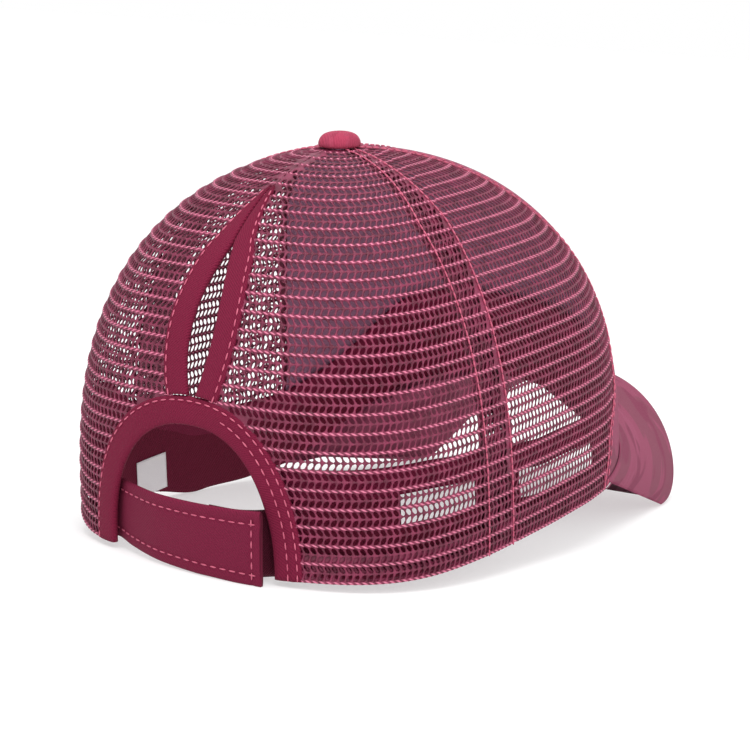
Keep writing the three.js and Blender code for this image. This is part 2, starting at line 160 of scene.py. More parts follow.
def heightAlong(distance):
    low, high = 0, len(climb) - 1
    while high - low > 1:
        middle = (low + high) // 2
        if climb[middle][0] < distance:
            low = middle
        else:
            high = middle
    start, end = climb[low], climb[high]
    return mix(start[1], end[1], clamp((distance - start[0]) / (end[0] - start[0])))


legReach = crownSkin(angleAside(arch["halfWidth"] - arch["width"] / 2, 0), 0).y
tilt = math.atan2(stance["tipFall"], legReach + stance["tipReach"])


# from the upright cap to the frame, in metres
def settle(point):
    away = point[1] - legReach
    y = away * math.cos(tilt) + point[2] * math.sin(tilt) + legReach + stance["shiftBack"]
    z = point[2] * math.cos(tilt) - away * math.sin(tilt) + stance["legLift"] - stance["restFlat"]
    return Vector((point[0], y, z)) * 0.001


# nothing sinks into the floor
def onFloor(point):
    return Vector((point.x, point.y, max(point.z, 0.00015)))


def gridSheet(columns, rows):
    sheet = bmesh.new()
    bmesh.ops.create_grid(sheet, x_segments=columns, y_segments=rows, size=0.5)
    return sheet


def gridPlaces(sheet, columns, rows):
    return [(vert, round((vert.co.x + 0.5) * columns), round((vert.co.y + 0.5) * rows))
            for vert in sheet.verts]


# keeps each point's place on the flat cloth, in millimetres, as the UV map
def keepFlat(sheet, flat):
    cloth = sheet.loops.layers.uv.new("cloth")
    for face in sheet.faces:
        for loop in face.loops:
            loop[cloth].uv = flat[loop.vert]


def makePiece(sheet, name, material, smoothShade=True):
    mesh = bpy.data.meshes.new(name)
    sheet.to_mesh(mesh)
    sheet.free()
    piece = bpy.data.objects.new(name, mesh)
    bpy.context.scene.collection.objects.link(piece)
    mesh.materials.append(material)
    if smoothShade:
        mesh.shade_smooth()
    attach(piece, "root")
    return piece


def addModifier(piece, kind, **values):
    modifier = piece.modifiers.new(kind.title(), kind)
    for key, value in values.items():
        setattr(modifier, key, value)
    return modifier


def newGroup(name, inputs, outputs):
    group = bpy.data.node_groups.new(name, "ShaderNodeTree")
    for label, kind, value in inputs:
        made = group.interface.new_socket(name=label, in_out="INPUT", socket_type=kind)
        if value is not None:
            made.default_value = value
    for label, kind in outputs:
        group.interface.new_socket(name=label, in_out="OUTPUT", socket_type=kind)
    return group


def addNode(tree, kind, **values):
    node = tree.nodes.new(kind)
    for key, value in values.items():
        setattr(node, key, value)
    return node


def feed(tree, socket, value):
    if isinstance(value, bpy.types.NodeSocket):
        tree.links.new(value, socket)
    else:
        socket.default_value = value


def mathNode(tree, operation, *values):
    node = addNode(tree, "ShaderNodeMath", operation=operation)
    for socket, value in zip(node.inputs, values):
        feed(tree, socket, value)
    return node.outputs[0]


def mixNode(tree, factor, first, second, **values):
    blend = addNode(tree, "ShaderNodeMix", data_type="RGBA", **values)
    for place, value in ((0, factor), (6, first), (7, second)):
        feed(tree, blend.inputs[place], value)
    return blend.outputs[2]


def rampNode(tree, value, low, high, **values):
    ramp = addNode(tree, "ShaderNodeMapRange", **values)
    ramp.inputs["From Min"].default_value = low
    ramp.inputs["From Max"].default_value = high
    tree.links.new(value, ramp.inputs[0])
    return ramp.outputs[0]


def noiseNode(tree, place, scale, detail, distortion=0.0, dimensions="2D"):
    noise = addNode(tree, "ShaderNodeTexNoise", noise_dimensions=dimensions)
    noise.inputs["Scale"].default_value = scale
    noise.inputs["Detail"].default_value = detail
    noise.inputs["Distortion"].default_value = distortion
    tree.links.new(place, noise.inputs["Vector"])
    return noise.outputs[0]


# the group's two ends, and the point's place on the flat cloth
def clothGroup(name, inputs, outputs):
    group = newGroup(name, inputs, outputs)
    ends = addNode(group, "NodeGroupInput")
    out = addNode(group, "NodeGroupOutput")
    cloth = addNode(group, "ShaderNodeUVMap", uv_map="cloth")
    return group, ends.outputs, out.inputs, cloth.outputs[0]


def splitPlace(group, place):
    parts = addNode(group, "ShaderNodeSeparateXYZ")
    group.links.new(place, parts.inputs[0])
    return parts.outputs[0], parts.outputs[1]


def makeTwill():
    group, ends, out, cloth = clothGroup(
        "twill", [("Pitch", "NodeSocketFloat", 1.5), ("Slant", "NodeSocketFloat", 1.0)],
        [("Height", "NodeSocketFloat"), ("Fleck And Groove Shade", "NodeSocketFloat")])
    x, y = splitPlace(group, cloth)
    diagonal = mathNode(group, "ADD", x, mathNode(group, "MULTIPLY", y, ends["Slant"]))
    ribTurn = mathNode(group, "MULTIPLY", diagonal, 2 * math.pi)
    rib = mathNode(group, "SINE", mathNode(group, "DIVIDE", ribTurn, ends["Pitch"]))
    acrossTurn = mathNode(group, "MULTIPLY", y, 2 * math.pi)
    halfPitch = mathNode(group, "MULTIPLY", ends["Pitch"], 0.5)
    across = mathNode(group, "SINE", mathNode(group, "DIVIDE", acrossTurn, halfPitch))
    noise = noiseNode(group, cloth, 2.4, 3)
    height = mathNode(group, "ADD", rib, mathNode(group, "MULTIPLY", across, 0.2))
    height = mathNode(group, "ADD", height, mathNode(group, "MULTIPLY", noise, 1.4))
    # random tone in the yarn plus painted shade that darkens the rib grooves
    fleckAndGrooveShade = mathNode(group, "ADD", noise, mathNode(group, "MULTIPLY", rib, 0.09))
    group.links.new(height, out["Height"])
    group.links.new(fleckAndGrooveShade, out["Fleck And Groove Shade"])
    return group


def makeBlotches():
    group, ends, out, cloth = clothGroup(
        "blotches", [(label, "NodeSocketColor", None) for label in ("Ground", "Light", "Grey", "Dark")]
        + [("Size", "NodeSocketFloat", 1.0)], [("Color", "NodeSocketColor")])
    scaled = addNode(group, "ShaderNodeVectorMath", operation="SCALE")
    group.links.new(cloth, scaled.inputs[0])
    group.links.new(ends["Size"], scaled.inputs["Scale"])
    color = ends["Ground"]
    for label, shift, stretch, low in (("Grey", 0, (0.07, 0.02, 1), 0.53),
                                       ("Dark", 31, (0.08, 0.024, 1), 0.57),
                                       ("Light", 67, (0.09, 0.03, 1), 0.6)):
        place = addNode(group, "ShaderNodeMapping")
        place.inputs["Location"].default_value = (shift, shift * 0.7, 0)
        place.inputs["Scale"].default_value = stretch
        place.inputs["Rotation"].default_value = (0, 0, 0.25)
        group.links.new(scaled.outputs[0], place.inputs[0])
        noise = noiseNode(group, place.outputs[0], 1.0, 2.0, 0.3)
        mask = rampNode(group, noise, low, low + 0.04, interpolation_type="SMOOTHSTEP")
        color = mixNode(group, mask, color, ends[label])
    group.links.new(color, out["Color"])
    return group


# painted highlight: bright dashes along the twisted bars of the net, where the shiny yarn catches the light
def makeTwistAndHighlight():
    group, ends, out, cloth = clothGroup(
        "yarn twist and painted highlight", [("Pitch", "NodeSocketFloat", 2.3), ("Repeat", "NodeSocketFloat", 6.15),
                       ("Bar", "NodeSocketFloat", 0.65)],
        [("Dash", "NodeSocketFloat"), ("Height", "NodeSocketFloat")])
    across, along = splitPlace(group, cloth)
    row = mathNode(group, "FLOORED_MODULO", along, ends["Repeat"])
    halfBar = mathNode(group, "MULTIPLY", ends["Bar"], 0.5)
    fromBar = mathNode(group, "ABSOLUTE", mathNode(group, "SUBTRACT", row, halfBar))
    onBar = rampNode(group, fromBar, 0.62, 0.25, interpolation_type="SMOOTHSTEP")
    slanted = mathNode(group, "ADD", across, mathNode(group, "MULTIPLY", row, 1.6))
    turn = mathNode(group, "MULTIPLY", mathNode(group, "DIVIDE", slanted, ends["Pitch"]), 2 * math.pi)
    dash = rampNode(group, mathNode(group, "SINE", turn), -0.6, 0.9, interpolation_type="SMOOTHSTEP")
    both = mathNode(group, "MULTIPLY", onBar, dash)
    fineTurn = mathNode(group, "MULTIPLY", mathNode(group, "ADD", across, along), 9.0)
    fine = mathNode(group, "MULTIPLY", mathNode(group, "SINE", fineTurn), 0.25)
    group.links.new(both, out["Dash"])
    group.links.new(mathNode(group, "ADD", both, fine), out["Height"])
    return group


twill = makeTwill()
blotches = makeBlotches()
twist = makeTwistAndHighlight()


def startMaterial(name, roughness, sheen, sheenTint, specular):
    material = bpy.data.materials.new(name)
    material.use_nodes = True
    tree = material.node_tree
    shader = tree.nodes["Principled BSDF"]
    shader.inputs["Roughness"].default_value = roughness
    shader.inputs["Sheen Weight"].default_value = sheen
    shader.inputs["Sheen Tint"].default_value = (*sheenTint, 1)
    shader.inputs["Sheen Roughness"].default_value = 0.4
    shader.inputs["Specular IOR Level"].default_value = specular
    return material, tree, shader


def finishMaterial(tree, shader, color, height, distance):
    tree.links.new(color, shader.inputs["Base Color"])
    bump = addNode(tree, "ShaderNodeBump")
    bump.inputs["Strength"].default_value = 1.0
    bump.inputs["Distance"].default_value = distance
    tree.links.new(height, bump.inputs["Height"])
    tree.links.new(bump.outputs[0], shader.inputs["Normal"])


def twoTone(tree, factor, first, second, low=0.3, high=0.7):
    return mixNode(tree, rampNode(tree, factor, low, high), (*first, 1), (*second, 1))


def solidNoise(tree, scale, detail):
    place = addNode(tree, "ShaderNodeTexCoord")
    return noiseNode(tree, place.outputs["Object"], scale, detail, dimensions="3D")


def twillMaterial(name, dark, light, pitch, depth, roughness=0.78, sheen=0.02):
    material, tree, shader = startMaterial(name, roughness, sheen, (1, 0.6, 0.7), 0.15)
    weave = addNode(tree, "ShaderNodeGroup", node_tree=twill)
    weave.inputs["Pitch"].default_value = pitch
    # the colour follows the yarn's random tone and the painted shade in the rib grooves
    color = twoTone(tree, weave.outputs["Fleck And Groove Shade"], dark, light)
    finishMaterial(tree, shader, color, weave.outputs["Height"], depth)
    return material


def netMaterial(name, dark, light, dash):
    material, tree, shader = startMaterial(name, 0.42, 0.02, (1, 0.6, 0.75), 0.4)
    yarn = addNode(tree, "ShaderNodeGroup", node_tree=twist)
    ground = twoTone(tree, solidNoise(tree, 260, 4), dark, light, 0.35, 0.65)
    # the bars' bright dashes are a painted highlight mixed into the yarn colour
    color = mixNode(tree, yarn.outputs["Dash"], ground, (*dash, 1))
    finishMaterial(tree, shader, color, yarn.outputs["Height"], 0.00012)
    return material


def threadMaterial(name, dark, light):
    material, tree, shader = startMaterial(name, 0.5, 0.05, (1, 0.6, 0.75), 0.5)
    noise = solidNoise(tree, 900, 3)
    finishMaterial(tree, shader, twoTone(tree, noise, dark, light), noise, 0.0002)
    return material


def camouflageMaterial(name, colors, size):
    material, tree, shader = startMaterial(name, 0.8, 0.02, (1, 0.8, 0.87), 0.15)
    pattern = addNode(tree, "ShaderNodeGroup", node_tree=blotches)
    pattern.inputs["Size"].default_value = size
    for label, color in colors.items():
        pattern.inputs[label].default_value = (*color, 1)
    weave = addNode(tree, "ShaderNodeGroup", node_tree=twill)
    weave.inputs["Pitch"].default_value = 1.2
    # the weave's random tone and the painted shade in its rib grooves tint the print
    shade = twoTone(tree, weave.outputs["Fleck And Groove Shade"], (0.9, 0.9, 0.9), (1.08, 1.08, 1.08))
    color = mixNode(tree, 1.0, pattern.outputs["Color"], shade, blend_type="MULTIPLY")
    finishMaterial(tree, shader, color, weave.outputs["Height"], 0.00006)
    return material


camouflage = {"Ground": (0.255, 0.052, 0.102), "Light": (0.27, 0.058, 0.112),
              "Grey": (0.205, 0.05, 0.086), "Dark": (0.195, 0.034, 0.074)}
buttonColors = {"Ground": (0.37, 0.042, 0.088), "Light": (0.4, 0.055, 0.105),
                "Grey": (0.34, 0.045, 0.09), "Dark": (0.31, 0.036, 0.075)}
# the third colour is the painted highlight on the net's bars
netYarn = netMaterial("net yarn", (0.11, 0.007, 0.028), (0.225, 0.023, 0.068), (0.72, 0.19, 0.31))
seamThread = threadMaterial("stitch thread", (0.42, 0.055, 0.12), (0.6, 0.12, 0.2))
bindingTwill = twillMaterial("binding twill", (0.135, 0.006, 0.029), (0.19, 0.010, 0.039), 1.2, 0.00007)
strapTwill = twillMaterial("strap twill", (0.13, 0.007, 0.03), (0.185, 0.011, 0.042), 1.2, 0.00007)
# the loop-pile tab is coloured far darker than the strap as painted shade under the strap's end
shadedLoopPile = twillMaterial("loop tape in painted shade", (0.055, 0.003, 0.012), (0.09, 0.006, 0.022), 0.9, 0.00012, 0.95, 0.1)
# the sweatband's lower cloth is darkened as painted shade and its top tape lightened as painted light, two
# copies of one cloth
shadedBandTwill = twillMaterial("sweatband twill in painted shade", (0.11, 0.007, 0.024), (0.16, 0.012, 0.036), 1.5, 0.00007, 0.9)
litBandTape = twillMaterial("sweatband tape in painted light", (0.16, 0.0085, 0.036), (0.2, 0.014, 0.05), 1.2, 0.00006, 0.8)
camouflageCloth = camouflageMaterial("camouflage twill", camouflage, 1.0)
buttonCloth = camouflageMaterial("button cloth", buttonColors, 2.6)
liningCloth = twillMaterial("panel lining", (0.3, 0.14, 0.23), (0.38, 0.19, 0.29), 1.2, 0.00005, 0.85, 0.1)
ribbon = twillMaterial("label ribbon", (0.9, 0.9, 0.91), (0.96, 0.96, 0.96), 0.8, 0.00003, 0.6, 0.1)
print("materials made")

net = {"pitch": 2.3, "holeRow": 2.75, "bar": 0.65, "holeHalfWide": 0.87, "holeHalfTall": 1.2,
       "ridge": 0.16, "barRidge": 0.38, "twist": 0.14, "wall": 0.42, "lap": 3.0, "edge": 0.1}
seamTape = {"width": 16, "tipWidth": 5, "taper": 0.15, "depth": 1.45, "under": 0.55, "openness": 0.6}
hem = {"tall": 9.5, "depth": 0.85, "lift": 0.5, "openness": 0.8}


def archHalf(height):
    share = 1 - (max(height, 0) / arch["height"]) ** arch["power"]
    return arch["halfWidth"] * max(share, 0) ** (1 / arch["power"])


def archTopAt(aside):
    return arch["height"] * max(1 - (aside / arch["halfWidth"]) ** arch["power"], 0) ** (1 / arch["power"])


def slitHalf(height):
    share = clamp((height - arch["height"]) / (slit["top"] - arch["height"]))
    foot = slit["footHalfGap"] * (1 - share)
    return max(foot + (slit["halfGap"] - foot) * math.sin(math.pi * share ** slit["swell"]), 0.15)


def slitOuterHalf(height):
    end = clamp((height - slit["taperFrom"]) / (slit["bindingTop"] - slit["taperFrom"]))
    return slitHalf(height) + mix(arch["width"], slit["endWidth"], end)


def bindingReach(height):
    reach = archHalf(height) if height < arch["height"] else 0
    if arch["height"] - 2 < height < slit["bindingTop"]:
        reach = max(reach, slitOuterHalf(height))
    return reach


# distance from the panel's middle line to an angle, at each level, read both ways
class PanelMap:
    def __init__(self, edgesAt):
        self.levels = 64
        self.rows = []
        for n in range(self.levels + 1):
            height = heightAlong(skinLength * n / self.levels)
            low, high = edgesAt(height)
            middle = (low + high) / 2
            angles = [mix(low, high, k / 28) for k in range(29)]
            spots = [crownSkin(angle, height) for angle in angles]
            arc = [0.0]
            for before, after in zip(spots, spots[1:]):
                arc.append(arc[-1] + (after - before).length)
            centre = arc[-1] * (middle - low) / max(high - low, 1e-9)
            self.rows.append((angles, [value - centre for value in arc]))

    def level(self, along):
        place = clamp(along / skinLength) * self.levels
        low = min(int(place), self.levels - 1)
        return low, place - low

    def edges(self, along):
        low, share = self.level(along)
        first, second = self.rows[low][1], self.rows[low + 1][1]
        return mix(first[0], second[0], share), mix(first[-1], second[-1], share)

    def angle(self, across, along):
        low, share = self.level(along)
        found = []
        for angles, arc in self.rows[low:low + 2]:
            if across <= arc[0]:
                found.append(angles[0])
            elif across >= arc[-1]:
                found.append(angles[-1])
            else:
                k = next(i for i, value in enumerate(arc) if value >= across)
                past = (across - arc[k - 1]) / max(arc[k] - arc[k - 1], 1e-9)
                found.append(mix(angles[k - 1], angles[k], past))
        return mix(found[0], found[1], share)


def netLayer(target, panel, side, low, high, depthAt, phase, openness, keep):
    pitch, bar, hole = net["pitch"], net["bar"], net["holeRow"]
    halfWide, halfTall = net["holeHalfWide"] * openness, net["holeHalfTall"] * openness
    repeat = bar + 2 * hole
    repeats = math.ceil((high - low) / repeat)
    lines = [low + n * repeat + extra for n in range(repeats)
             for extra in (0, bar, bar + hole / 2, bar + hole, bar + 1.5 * hole)]
    lines.append(low + repeats * repeat)
    widest = max(max(abs(edge) for edge in panel.edges(line)) for line in lines)
    half = 2 * (int(widest / pitch) + 2)
    columns, rows = 2 * half, len(lines) - 1
    lean = (0, 0, 0.25, 0.5, 0.25)
    sheet = gridSheet(columns, rows)
    centres, outside = [], set()
    for vert, i, j in gridPlaces(sheet, columns, rows):
        part = j % 5
        across = ((i - half) / 2 + lean[part] + phase) * pitch
        along = lines[j]
        barRidge = net["barRidge"] + (net["twist"] if (i + part) % 2 else -net["twist"])
        vert.co = (across, along, barRidge if part < 2 else net["ridge"])
        left, right = panel.edges(along)
        near = net["edge"] * pitch
        if part in (2, 4) and i % 2:
            centres.append(vert)
        if not left + near < across < right - near or along > high or not keep(panel, across, along):
            outside.add(vert)
    holeCentres = [vert for vert in centres
                   if not any(other in outside for face in vert.link_faces for other in face.verts)]
    bmesh.ops.dissolve_verts(sheet, verts=holeCentres)
    holes = [face for face in sheet.faces if len(face.verts) == 8]
    gone = [face for face in sheet.faces
            if len(face.verts) == 4 and all(vert in outside for vert in face.verts)]
    middles = [face.calc_center_median() for face in holes]
    leans = []
    for face, middle in zip(holes, middles):
        j = min(range(len(lines)), key=lambda n: abs(lines[n] - middle.y))
        leans.append(pitch / 2 / hole * (1 if j % 5 == 2 else -1))
    bmesh.ops.delete(sheet, geom=gone, context="FACES")
    bmesh.ops.inset_individual(sheet, faces=holes, thickness=0.2, use_even_offset=True)
    for face, middle, slope in zip(holes, middles, leans):
        for vert in face.verts:
            y = vert.co.y - middle.y
            x = vert.co.x - middle.x - slope * y
            turn = math.atan2(y / halfTall, x / halfWide)
            y = halfTall * math.sin(turn)
            vert.co = (middle.x + halfWide * math.cos(turn) + slope * y, middle.y + y, 0)
    bmesh.ops.delete(sheet, geom=holes, context="FACES")
    keepFlat(sheet, {vert: (vert.co.x, vert.co.y) for vert in sheet.verts})
    for vert in sheet.verts:
        across, along, ridge = vert.co
        depth = depthAt(panel, across, along)
        angle = panel.angle(across, along) * side
        up = fromRim(angle, heightAlong(min(along, high)))
        vert.co = onFloor(settle(crownPoint(angle, up, ridge - depth)))
    bmesh.ops.remove_doubles(sheet, verts=sheet.verts, dist=0.00002)
    bmesh.ops.dissolve_degenerate(sheet, edges=sheet.edges, dist=0.00001)
    if side < 0:
        bmesh.ops.reverse_faces(sheet, faces=sheet.faces)
    layer = bpy.data.meshes.new("layer")
    sheet.to_mesh(layer)
    sheet.free()
    target.from_mesh(layer)
    bpy.data.meshes.remove(layer)


def keepAll(panel, across, along):
    return True


def keepClearOfBindings(panel, across, along):
    height = heightAlong(along)
    aside = abs(crownSkin(panel.angle(across, along), height).x)
    return aside > bindingReach(height) - net["lap"]


def netPiece(name, node, side, panel, layers, keep=keepAll):
    sheet = bmesh.new()
    for low, high, depthAt, phase, openness in layers:
        netLayer(sheet, panel, side, low, high, depthAt, phase, openness, keep)
    piece = makePiece(sheet, name, netYarn)
    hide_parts(node)
    left, right = zip(*(panel.edges(skinLength * n / 16) for n in range(17)))
    max(right) - min(left)
    addModifier(piece, "SOLIDIFY", thickness=net["wall"] * 0.001, offset=-1)


def sideEdges(side):
    def edges(height):
        return shiftAngle(crown["sideSeam"], height, 0.15), frontSeamAt(height, side)
    return edges


def lapWidth(height):
    left = clamp((hubHeight - height) / (seamTape["taper"] * crown["height"]))
    return mix(seamTape["tipWidth"], seamTape["width"], left) / 2


# the back panel laps over the side panel as far as the seam's outer stitches
def backEdges(height):
    return 0, shiftAngle(crown["sideSeam"], height, lapWidth(height))


def tapeEdges(height):
    half = lapWidth(height)
    return (shiftAngle(crown["sideSeam"], height, -half), shiftAngle(crown["sideSeam"], height, half))


def flush(panel, across, along):
    return 0


def hemDepth(panel, across, along):
    return hem["depth"]


def tapeDepth(panel, across, along):
    return seamTape["depth"]


# the side panel dips under the lap of the back panel
def underLap(panel, across, along):
    fromSeam = across - panel.edges(along)[0]
    return seamTape["under"] * (1 - smooth((fromSeam - seamTape["width"] / 2) / 3))


backPanel = PanelMap(backEdges)
tapePanel = PanelMap(tapeEdges)
for word, side in (("right", 1), ("left", -1)):
    hemLayer = (hem["lift"], hem["tall"], hemDepth, 0.3, hem["openness"])
    netPiece("sideNet." + word, "side_net_" + word, side, PanelMap(sideEdges(side)),
             [(0, skinLength, underLap, 0, 1), hemLayer])
    netPiece("backNet." + word, "back_net_" + word, side, backPanel,
             [(0, skinLength, flush, 0, 1), hemLayer], keepClearOfBindings)
    netPiece("seamNet." + word, "seam_tape_" + word, side, tapePanel,
             [(1.5, skinLength - 2, tapeDepth, 0.4, seamTape["openness"])])
print("net panels made")

front = {"columns": 36, "rows": 64, "wall": 1.2, "swell": 0.35, "pucker": 0.12, "cutWidth": 98}
for word, side in (("right", 1), ("left", -1)):
    sheet = gridSheet(front["columns"], front["rows"])
    flat = {}
    for vert, i, j in gridPlaces(sheet, front["columns"], front["rows"]):
        along = skinLength * j / front["rows"]
        height = heightAlong(along)
        low, high = frontSeamAt(height, side), math.pi
        share = i / front["columns"]
        angle = mix(low, high, share) * side
        fromSeam = min(share, 1 - share)
        offset = front["swell"] * math.sin(math.pi * share) * math.sin(math.pi * j / front["rows"])
        offset += front["pucker"] * math.sin(along * 1.1 + share * 4) * math.exp(-fromSeam * 22)
        middle = mix(low, high, 0.5)
        reach = (crownSkin(middle, height) - crownSkin(middle + 0.1, height)).length / 0.1
        flat[vert] = (side * (high - mix(low, high, share)) * reach, along)
        vert.co = settle(crownPoint(angle, fromRim(angle, height), offset))
    keepFlat(sheet, flat)
    if side < 0:
        bmesh.ops.reverse_faces(sheet, faces=sheet.faces)
    piece = makePiece(sheet, "frontPanel." + word, camouflageCloth)
    piece.data.materials.append(liningCloth)
    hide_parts("front_panel_" + word)
    addModifier(piece, "SOLIDIFY", thickness=front["wall"] * 0.001, offset=-1, material_offset=1)
print("front panels made")


def sweep(name, material, columns, ring, place, flatAt):
    sheet = gridSheet(columns, ring)
    flat = {}
    for vert, i, j in gridPlaces(sheet, columns, ring):
        vert.co = place(i / columns, j / ring)
        flat[vert] = flatAt(i / columns, j / ring)
    keepFlat(sheet, flat)
    bmesh.ops.remove_doubles(sheet, verts=sheet.verts, dist=0.000002)
    rims = [edge for edge in sheet.edges if edge.is_boundary]
    bmesh.ops.holes_fill(sheet, edges=rims, sides=0)
    bmesh.ops.recalc_face_normals(sheet, faces=sheet.faces)
    return makePiece(sheet, name, material)


# a flat band's section: across and deep run from -0.5 to 0.5, first over the outer face
def bandSection(turn, sharpness=0.35):
    face = 1 if turn < 0.5 else -1
    along = turn * 2 if turn < 0.5 else turn * 2 - 1
    across = face * mix(1 - 2 * along, math.cos(math.pi * along), 0.35)
    edge = abs(across) ** (1 / sharpness)
    return 0.5 * across, 0.5 * face * math.sqrt(max(1 - edge * edge, 0)) ** 0.7


# a point's place on the cut cloth of a band
def bandFlat(length, width, sharpness=0.35):
    def flatAt(u, v):
        across = (bandSection(v, sharpness)[0] + 0.5) * width
        return u * length, across if v < 0.5 else -across
    return flatAt


# the cloth sinks under each row of stitches and gathers between them
def stitchSink(lane, along, rows):
    sink = 0
    for row in rows:
        near = math.exp(-((lane - row) / sewing["channel"]) ** 2)
        sink += near * (sewing["sink"] + sewing["gather"] * math.sin(along * 2 * math.pi / sewing["spacing"]))
    return sink


sewing = {"spacing": 3.6, "length": 2.6, "thickness": 0.6, "channel": 0.9, "sink": 0.28, "gather": 0.1,
          "stand": 0.12}
archLength = 1.18 * (arch["halfWidth"] + arch["height"]) * math.pi / 2


# a point of the arch binding: share of the way round, distance from its outer edge, height off the crown
def archSpot(u, lane, offset):
    halfSpan, top = arch["halfWidth"] - lane, arch["height"] - lane
    turn = u * math.pi
    aside = halfSpan * abs(math.cos(turn)) ** (2 / arch["power"])
    height = top * abs(math.sin(turn)) ** (2 / arch["power"])
    angle = math.copysign(angleAside(aside, height), math.cos(turn))
    return onFloor(settle(crownPoint(angle, height, offset)))


def archPlace(u, v):
    across, deep = bandSection(v)
    lane = (0.5 - across) * arch["width"]
    offset = mix(-arch["inside"], arch["proud"], deep + 0.5)
    if deep > 0:
        rows = [arch["row"], arch["secondRow"]] if u < arch["secondEnd"] else [arch["row"]]
        offset -= stitchSink(lane, u * archLength, rows)
        offset += arch["ripple"] * math.sin(u * 37 + 2 * math.sin(u * 11))
    return archSpot(u, lane, offset)


archBinding = sweep("archBinding", bindingTwill, arch["columns"], arch["ring"], archPlace,
                    bandFlat(archLength, arch["width"]))
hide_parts("arch_binding")


def slitSpot(side, u, lane, offset):
    foot = archTopAt(slit["footHalfGap"] + lane * arch["width"]) + slit["endGap"]
    height = mix(foot, slit["bindingTop"] - slit["endGap"], u)
    aside = mix(slitHalf(height), slitOuterHalf(height), lane)
    return settle(crownPoint(side * angleAside(aside, height), height, offset))


def slitPlace(side):
    def place(u, v):
        across, deep = bandSection(v)
        offset = mix(-arch["inside"], arch["proud"], deep + 0.5)
        if deep > 0:
            offset -= stitchSink((0.5 - across) * arch["width"], u * slit["length"], [slit["row"]])
        return slitSpot(side, u, across + 0.5, offset)
    return place


for word, side in (("right", 1), ("left", -1)):
    piece = sweep("slitBinding." + word, bindingTwill, slit["columns"], arch["ring"],
                  slitPlace(side), bandFlat(slit["length"], arch["width"]))
    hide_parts("slit_binding_" + word)

strap = {"wall": 2.2, "startHeight": 20.5, "endHeight": 26, "startLift": 1, "endLift": -2, "bow": 12,
         "legDepth": 2.5, "row": 4, "length": 84, "cutHeight": 24.5, "middleHeight": 24, "sharpness": 0.2,
         "columns": 110, "ring": 64}
tab = {"wall": 1.8, "lift": -0.6, "height": 23, "length": 36, "under": 0.3, "columns": 40, "ring": 24}
strapRoute = [(0.93, 0), (0.8, 0.02), (0.6, 0.36), (0.25, 0.82), (-0.15, 1.0), (-0.5, 0.97),
              (-0.76, 0.86)]
tabRoute = [(-0.93, 0.18), (-0.8, 0.2), (-0.66, 0.62), (-0.5, 0.88), (-0.25, 0.94)]


# a smooth way through the route's points, with its outward direction
def alongRoute(route, share):
    points = [Vector((across * arch["halfWidth"], legReach - strap["legDepth"] + out * strap["bow"], 0))
              for across, out in route]
    place = clamp(share) * (len(points) - 1)
    k = min(int(place), len(points) - 2)
    t = place - k
    a = points[k - 1] if k else points[0] * 2 - points[1]
    b, c = points[k], points[k + 1]
    d = points[k + 2] if k + 2 < len(points) else c * 2 - b
    bend, twirl = 2 * a - 5 * b + 4 * c - d, 3 * b - a - 3 * c + d
    spot = 0.5 * (2 * b + (c - a) * t + bend * t * t + twirl * t ** 3)
    run = 0.5 * ((c - a) + 2 * bend * t + 3 * twirl * t * t)
    out = Vector((run.y, -run.x, 0)).normalized()
    return spot, out if out.y > 0 else -out


def bandSpot(route, start, end, u, v, offset):
    spot, out = alongRoute(route, u)
    spot = spot + out * offset
    spot.z = mix(start[0], end[0], u) + v * mix(start[1], end[1], u)
    return onFloor(settle(spot))


def bandPlace(route, start, end, wall, behind, rows=(), length=1):
    def place(u, v):
        across, deep = bandSection(v, strap["sharpness"])
        offset = -behind - (0.5 - deep) * wall
        if deep > 0:
            tall = mix(start[1], end[1], u)
            lane = min(0.5 - across, 0.5 + across) * tall
            offset -= stitchSink(lane, u * length, rows)
            offset -= stitchSink((1 - u) * length, (across + 0.5) * tall, rows)
        return bandSpot(route, start, end, u, across + 0.5, offset)
    return place


strapStart = (strap["startLift"], strap["startHeight"])
strapEnd = (strap["endLift"], strap["endHeight"])
strapPlace = bandPlace(strapRoute, strapStart, strapEnd, strap["wall"], 0, [strap["row"]], strap["length"])
strapPiece = sweep("hookStrap", strapTwill, strap["columns"], strap["ring"], strapPlace,
                   bandFlat(strap["length"], strap["endHeight"], strap["sharpness"]))
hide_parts("strap")
tabEnds = (tab["lift"], tab["height"])
tabPlace = bandPlace(tabRoute, tabEnds, tabEnds, tab["wall"], strap["wall"] + tab["under"])
tabPiece = sweep("strapTab", shadedLoopPile, tab["columns"], tab["ring"], tabPlace,
                 bandFlat(tab["length"], tab["height"], strap["sharpness"]))
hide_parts("strap_tab")
print("bindings and strap made")

band = {"height": 37, "wall": 1.1, "tape": 9.5, "slotHeight": 10.5, "depth": 2.5, "step": 1.5,
        "tuck": 3, "endColumns": 7, "cutWidth": 60, "cutLength": 480, "rimGap": 0.3,
        "rows": 20, "slotFootRow": 8, "slotTopRow": 14, "degreeWidth": 1.5}
bandTopTable = [(30, 1.0), (56, 1.04), (68, 1.0), (80, 0.92), (96, 0.84), (132, 0.78), (152, 1.0),
                (180, 0.96)]
bandSlots = [(51, 70), (85, 116)]


def bandTop(angle):
    return band["height"] * readTable(bandTopTable, math.degrees(abs(angle)), 1) + rimHeight(angle)


# the band ends behind the arch binding at every height
def bandStart(height):
    return math.degrees(angleAside(archHalf(height) - band["tuck"], 0))


